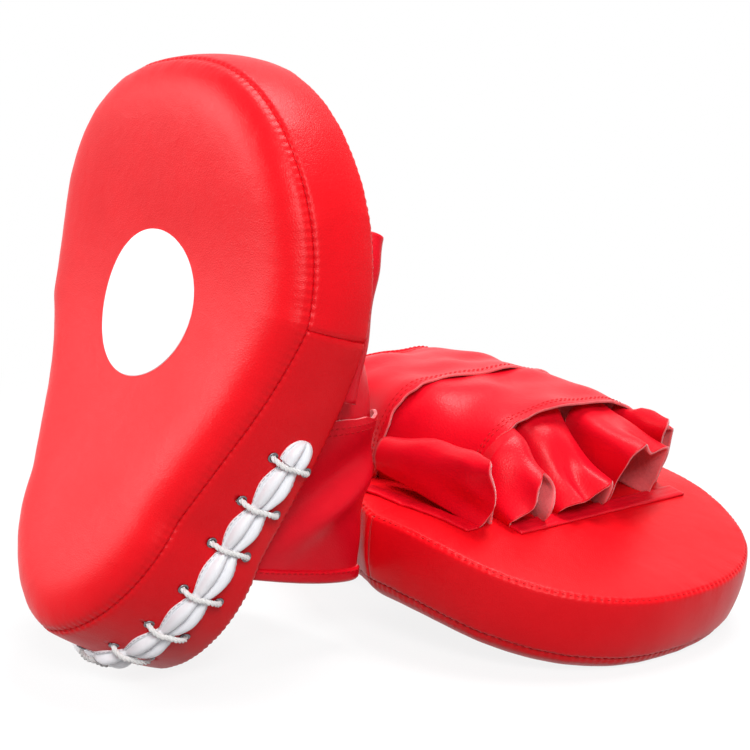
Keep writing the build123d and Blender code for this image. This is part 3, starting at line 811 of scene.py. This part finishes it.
def arch(z, thumb_side, little_side, top, power, knots=41):
    """Superellipse arch from foot to foot at a height z, its feet 1 mm into the pad's back."""
    t = np.linspace(0, math.pi, knots)
    middle, half = (thumb_side - little_side) / 2, (thumb_side + little_side) / 2
    x = middle + half * np.sign(np.cos(t)) * np.abs(np.cos(t)) ** (2 / power)
    foot = back_at(z) - 1.0
    return np.stack([x, foot + (top - foot) * np.sin(t) ** (2 / power), z + 0 * t], 1)


def spread(stations, rows, columns):
    """Smooth surface through stations of knots: a curve through each, and curves through those."""
    across = np.stack([through(station, np.linspace(0, 1, columns)) for station in np.asarray(stations, float)])
    return through(across, np.linspace(0, 1, rows))


def creased(points, size, seed):
    """Soft folds: the sheet moves along y and x by sums of sines of its place, least at its feet."""
    x, y, z = points[..., 0], points[..., 1], points[..., 2]
    free = np.clip((y - back_at(z)) / 22.0, 0, 1)
    wave = np.sin(x / 9.0 + z / 13.0 + seed) + 0.7 * np.sin(x / 5.3 - z / 8.1 + 2.1 * seed)
    wave = wave + 0.45 * np.sin(z / 4.1 + x / 16.0 + seed)
    moved = points.copy()
    moved[..., 1] += size * free * wave
    moved[..., 0] += 0.5 * size * free * np.sin(z / 7.0 + y / 8.0 + seed)
    return moved


def ragged(points, row, size, seed):
    """Moves one end row along z by a sum of sines, so that a cut edge isn't straight."""
    t = np.arange(points.shape[1])
    fade = np.linspace(1, 0, 8) if row == 0 else np.linspace(0, 1, 8)
    rows = slice(0, 8) if row == 0 else slice(-8, None)
    points[rows, :, 2] += (size * fade)[:, None] * (np.sin(t / 6.0 + seed) + 0.5 * np.sin(t / 2.3 + 2 * seed))
    return points


def slack(points, slant, fold):
    """A cuff's wrist edge rises by slant towards its feet, and a fold runs slantwise up each wall.

    The fold is a Gaussian ridge with a Gaussian hollow above it.
    """
    x, y, z = (points[..., k].copy() for k in range(3))
    low = np.clip((70 - z) / 48, 0, 1)
    height = np.clip((y - back_at(z)) / 70, 0, 1)
    points[..., 2] = z + slant * low * (1 - height) ** 1.5
    above = points[..., 2] - 36 - 42 * height
    wall = np.sign(x) * np.clip(np.abs(x) / 40, 0, 1) ** 3 * np.sin(math.pi * np.clip(height * 0.92 + 0.04, 0, 1))
    points[..., 0] += fold * wall * (np.exp(-((above / 9) ** 2)) - 0.9 * np.exp(-(((above - 20) / 12) ** 2)))
    return points


# Each arch is (height along the mitt, thumb side, little side, top, power).
SLACK = {"standing": (15.0, 3.6), "lying": (3.0, 0.9)}
CUFF = {
    "standing": (
        (22, 45, 45, 68, 8),
        (45, 50, 50, 69, 7),
        (70, 55, 55, 70.5, 6.5),
        (92, 59.5, 60, 71.6, 6),
        (98, 60, 61, 71.8, 6),
    ),
    "lying": (
        (22, 46, 46, 46, 5),
        (45, 51, 51, 57, 5),
        (70, 56, 56, 62.5, 4.5),
        (92, 60, 60, 68, 4.2),
        (98, 60.5, 61, 69.8, 4.2),
    ),
}
HAND = {
    "standing": ((88, 58, 58.5, 69.8, 5.5), (105, 57, 60.5, 72.5, 4.5), (125, 53, 64, 75, 3.8), (150, 47.5, 68, 75, 3.4)),
    "lying": ((88, 58.5, 58.5, 64.8, 4), (105, 57, 60.5, 69.5, 3.8), (125, 52, 64, 71.5, 3.4), (150, 46.5, 68, 74, 3.2)),
}


def up_from(points, row):
    """Row of a surface and its outward direction, for a line of stitches on it."""
    along, across = np.gradient(points, axis=0)[row], np.gradient(points, axis=1)[row]
    up = np.cross(across, along)
    return points[row], up / (np.linalg.norm(up, axis=1)[:, None] + 1e-9)


def row_at(points, z):
    """Row of a surface nearest to a height z at its crest."""
    middle = points[:, points.shape[1] // 2, 2]
    return int(np.abs(middle - z).argmin())


def facing_out(points):
    """Quads of a surface from thumb foot to little foot and from wrist to fingers, facing out."""
    return grid(*points.shape[:2])


def sewn_piece(mitt, name, points, node, wall=GLOVE_LEATHER):
    """Piece of the glove from its surface: shiny outside, suede inside and at its cut edges."""
    sides = [glove_leather, suede]
    return make(mitt, name, points, facing_out(points), sides, [node], "glove_leather", hand=True, wall=wall)


sewn = {mitt: [] for mitt in MITTS}
hands = {}
for number, mitt in enumerate(MITTS):
    cuff = slack(spread([arch(*station) for station in CUFF[mitt]], 90, 150), *SLACK[mitt])
    cuff = creased(cuff, 0.75, 1.0 + number)
    cuff = ragged(cuff, -1, 0.7, 0.5)
    sewn_piece(mitt, "cuff_leather", cuff, "wrist_cuff")
    hand = creased(spread([arch(*station) for station in HAND[mitt]], 90, 150), 0.6, 2.3 + number)
    hand = ragged(hand, -1, 0.7, 1.4)
    hands[mitt] = hand
    sewn_piece(mitt, "hand_leather", hand, "back_of_hand")
    sewn[mitt] += [up_from(cuff, row_at(cuff, 92.5)), up_from(cuff, row_at(cuff, 95.5))]
    sewn[mitt] += [up_from(hand, row_at(hand, 144.5)), up_from(hand, row_at(hand, 147.0))]
    for column in (118, 121):
        line = hand[12:80, column]
        rise = np.cross(np.gradient(hand, axis=1)[12:80, column], np.gradient(hand, axis=0)[12:80, column])
        sewn[mitt].append((line, rise / np.linalg.norm(rise, axis=1)[:, None]))

    # The hem is the cuff's own edge, folded out over itself and sewn down 5 mm from the fold.
    hem_rows = row_at(cuff, 29.5)
    outward = np.stack([up_from(cuff, row)[1] for row in range(hem_rows)])
    swell = 1.15 * np.sqrt(np.clip(1 - (2 * np.linspace(0, 1, hem_rows) - 1) ** 6, 0.05, 1))[:, None, None]
    hem = cuff[:hem_rows] + outward * swell
    hem[:, :, 2] -= 0.8
    sewn_piece(mitt, "hem_fold", hem, "cuff_hem", wall=GLOVE_LEATHER * 0.85)
    sewn[mitt].append(up_from(hem, row_at(hem, 26.2)))

# The finger and thumb stalls: strips of the same leather over each finger, sewn down between the fingers.
# Their free ends are cut raw, and they have gone wavy, so the pink flesh side shows inside them.
# Each knot is (across, above the pad's back, along).
STALLS = {
    "thumb_stall": (
        (
            (72, 0, 109), (73.5, 5, 108), (72.5, 10, 107), (69, 14, 106),
            (64, 15, 107), (61.5, 11, 108), (61, 5, 109), (61.5, 0, 110),
        ),
        (
            (69, 0, 128), (72, 8, 128), (72, 16, 127), (68, 21.5, 127),
            (61.5, 23, 128), (57, 18, 128), (54.5, 9, 128), (54.5, 0, 128),
        ),
        (
            (66.5, 0, 148), (69, 9, 148), (71.5, 19, 149), (69, 26.5, 149),
            (62, 29, 148), (55.5, 24, 147), (51.5, 12, 147), (50, 0, 147),
        ),
        (
            (65, 0, 162), (64.5, 9, 164), (69.5, 20, 166), (71, 30, 164),
            (64.5, 33.5, 161), (57.5, 28, 158), (53.5, 14, 160), (51, 0, 160),
        ),
        (
            (64, 0, 172), (61.5, 8, 175), (64.5, 19, 179), (70.5, 31, 177),
            (67, 36, 172), (59.5, 28, 168), (57, 14, 172), (54, 0, 171),
        ),
    ),
    "index_stall": (
        (
            (47, 0, 143), (47.5, 17, 143), (45, 29, 143), (38, 35, 143),
            (30, 37, 143), (24, 33, 143), (22.5, 15, 145), (22, 0, 146),
        ),
        (
            (47.5, 0, 158), (49, 14, 158), (46.5, 25, 158), (39, 32, 158),
            (31, 33, 158), (26, 25, 158), (24.5, 12, 158), (24, 0, 158),
        ),
        (
            (48, 0, 168), (50.5, 9, 169), (46, 17, 171), (40, 26, 170),
            (33, 28, 168), (28, 20, 170), (28.5, 10, 170), (25, 0, 168),
        ),
        (
            (48, 0, 176), (51, 6, 180), (44, 12, 184), (41.5, 22, 182),
            (34.5, 26, 178), (28.5, 19, 182), (32, 9, 185), (27, 0, 178),
        ),
    ),
    "middle_stall": (
        (
            (21, 0, 145), (21, 18, 143), (19, 33, 143), (12, 37.5, 143),
            (0, 38.5, 143), (-9, 36, 143), (-12.5, 20, 143), (-13, 0, 145),
        ),
        (
            (19.5, 0, 158), (20.5, 14, 158), (17.5, 26, 158), (9, 31, 158),
            (0, 31, 158), (-8, 27, 158), (-13, 13, 158), (-14, 0, 158),
        ),
        (
            (18, 0, 168), (19.5, 9, 170), (14, 17, 172), (7, 19, 170),
            (0, 23, 172), (-9, 21, 170), (-14, 10, 170), (-15, 0, 168),
        ),
        (
            (16, 0, 176), (19, 6, 181), (11, 12, 186), (6, 10, 183),
            (-2, 18, 188), (-10, 17, 184), (-12, 7, 182), (-17, 0, 176),
        ),
    ),
    "ring_stall": (
        (
            (-14, 0, 145), (-14, 20, 143), (-15.5, 34, 143), (-23, 38.5, 143),
            (-33, 38, 143), (-42, 35, 143), (-46.5, 20, 143), (-47, 0, 145),
        ),
        (
            (-16, 0, 158), (-14.5, 18, 159), (-13.5, 33, 160), (-21, 38, 160),
            (-33, 37, 159), (-43, 33, 158), (-49, 17, 158), (-49, 0, 158),
        ),
        (
            (-18.5, 0, 168), (-15.5, 17, 171), (-13, 33, 173), (-21, 38, 173),
            (-33, 34, 172), (-44, 32, 170), (-50, 16, 169), (-50, 0, 168),
        ),
        (
            (-21, 0, 176), (-17.5, 14, 181), (-13, 31, 187), (-21, 37, 188),
            (-31, 30, 186), (-45, 32, 184), (-49, 15, 181), (-53, 0, 177),
        ),
    ),
    "little_stall": (
        (
            (-48, 0, 145), (-48, 17, 143), (-49.5, 31, 143), (-54, 35, 143),
            (-60, 33, 143), (-65, 26, 143), (-67.5, 13, 143), (-68, 0, 145),
        ),
        (
            (-51, 0, 155), (-50, 18, 155), (-49.5, 33, 156), (-54, 38, 156),
            (-60, 35, 155), (-65.5, 27, 155), (-68, 13, 155), (-68.5, 0, 155),
        ),
        (
            (-52, 0, 163), (-51, 18, 164), (-48, 34, 166), (-53, 40, 165),
            (-59, 37, 164), (-66, 29, 163), (-67.5, 13, 162), (-68, 0, 162),
        ),
        (
            (-53, 0, 171), (-53.5, 18, 174), (-46.5, 36, 178), (-52, 41.5, 176),
            (-60, 34, 172), (-65, 31, 171), (-69, 13, 170), (-69, 0, 168),
        ),
    ),
}
# On the standing mitt the thumb stall is pressed flatter and the index stall stands higher.
HELD = {"thumb_stall": (0.95, 0.86, 1)}
REACH = {"index_stall": (-2, 17, 11), "thumb_stall": (-2, 0, 0)}
for mitt in MITTS:
    hand = hands[mitt]
    edge = hand[row_at(hand, 146)]
    order = np.argsort(edge[:, 0])
    for number, (stall, stations) in enumerate(STALLS.items()):
        stations = np.array(stations, float)
        if mitt == "standing":
            free = np.linspace(0, 1, len(stations))[:, None, None] * (stations[..., 1:2] > 0)
            stations = stations * HELD.get(stall, (1, 1, 1)) + free * REACH.get(stall, (0, 0, 0))
        points = spread(stations, 46, 90)
        points[..., 1] += BACK_PLANE - 0.6
        points = creased(points, 0.55, 3.1 + 1.7 * number)
        if stall != "thumb_stall":
            under = np.interp(points[..., 0], edge[order, 0], edge[order, 1]) - 1.7
            hold = np.clip((156 - points[..., 2]) / 9.0, 0, 1)
            points[..., 1] = np.where(points[..., 1] > under, points[..., 1] + hold * (under - points[..., 1]), points[..., 1])
        points = ragged(points, -1, 0.5, 0.9 * number)
        sewn_piece(mitt, stall + "_leather", points, stall)

# The flanges: the stalls' turned-out allowances, which lie flat on the back and are sewn down twice.
# The thumb's runs along the outside of its stall, and the fingers' runs across beyond their ends.
FLANGES = {
    "thumb_flange": (((72.5, 108), (80, 108)), ((64.0, 173), (71.5, 173))),
    "finger_flange": (((48, 175.5), (48, 184.5)), ((-70, 175.5), (-70, 184.5))),
}
for mitt in MITTS:
    for name, (start, stop) in FLANGES.items():
        ends = np.array([start, stop], float)
        far, near = np.meshgrid(np.linspace(0, 1, 120), np.linspace(0, 1, 16), indexing="ij")
        along, over = far[..., None], near[..., None]
        inner = ends[0, 0] * (1 - along) + ends[1, 0] * along
        outer = ends[0, 1] * (1 - along) + ends[1, 1] * along
        flat = inner * (1 - over) + outer * over
        rim = np.minimum(1, np.minimum(near, 1 - near) / 0.12) ** 0.5
        rim = rim * np.minimum(1, np.minimum(far, 1 - far) / 0.01) ** 0.5
        dips = 0.12 * (np.exp(-(((near - 0.3) / 0.07) ** 2)) + np.exp(-(((near - 0.72) / 0.07) ** 2)))
        y = back_at(flat[..., 1]) - 0.1 + 0.5 * rim - dips + 0.08 * np.sin(far * 40)
        points = np.stack([flat[..., 0] + 0.25 * np.sin(far * 23) * (near - 0.5), y, flat[..., 1]], -1)
        faces = facing_out(points)
        normal = np.cross(points[1, 0] - points[0, 0], points[0, 1] - points[0, 0])
        faces = faces if normal[1] > 0 else faces[:, ::-1]
        make(mitt, name + "_strip", points, faces, [glove_leather], [name], "glove_leather", hand=True, wall=1.1)
        for column in (5, 11):
            sewn[mitt].append((points[:, column], np.tile([0.0, 1.0, 0.0], (len(points), 1))))
    parts = [stitches(line, up, 3.2, 2.3, 0.36, 0.05) for line, up in sewn[mitt]]
    starts = np.cumsum([0] + [len(points) for points, _ in parts[:-1]])
    make(
        mitt,
        "glove_thread",
        np.vstack([points for points, _ in parts]),
        np.vstack([faces + start for (_, faces), start in zip(parts, starts)]),
        [thread_red],
        slot="glove_leather",
        hand=True,
        merged=True,
    )
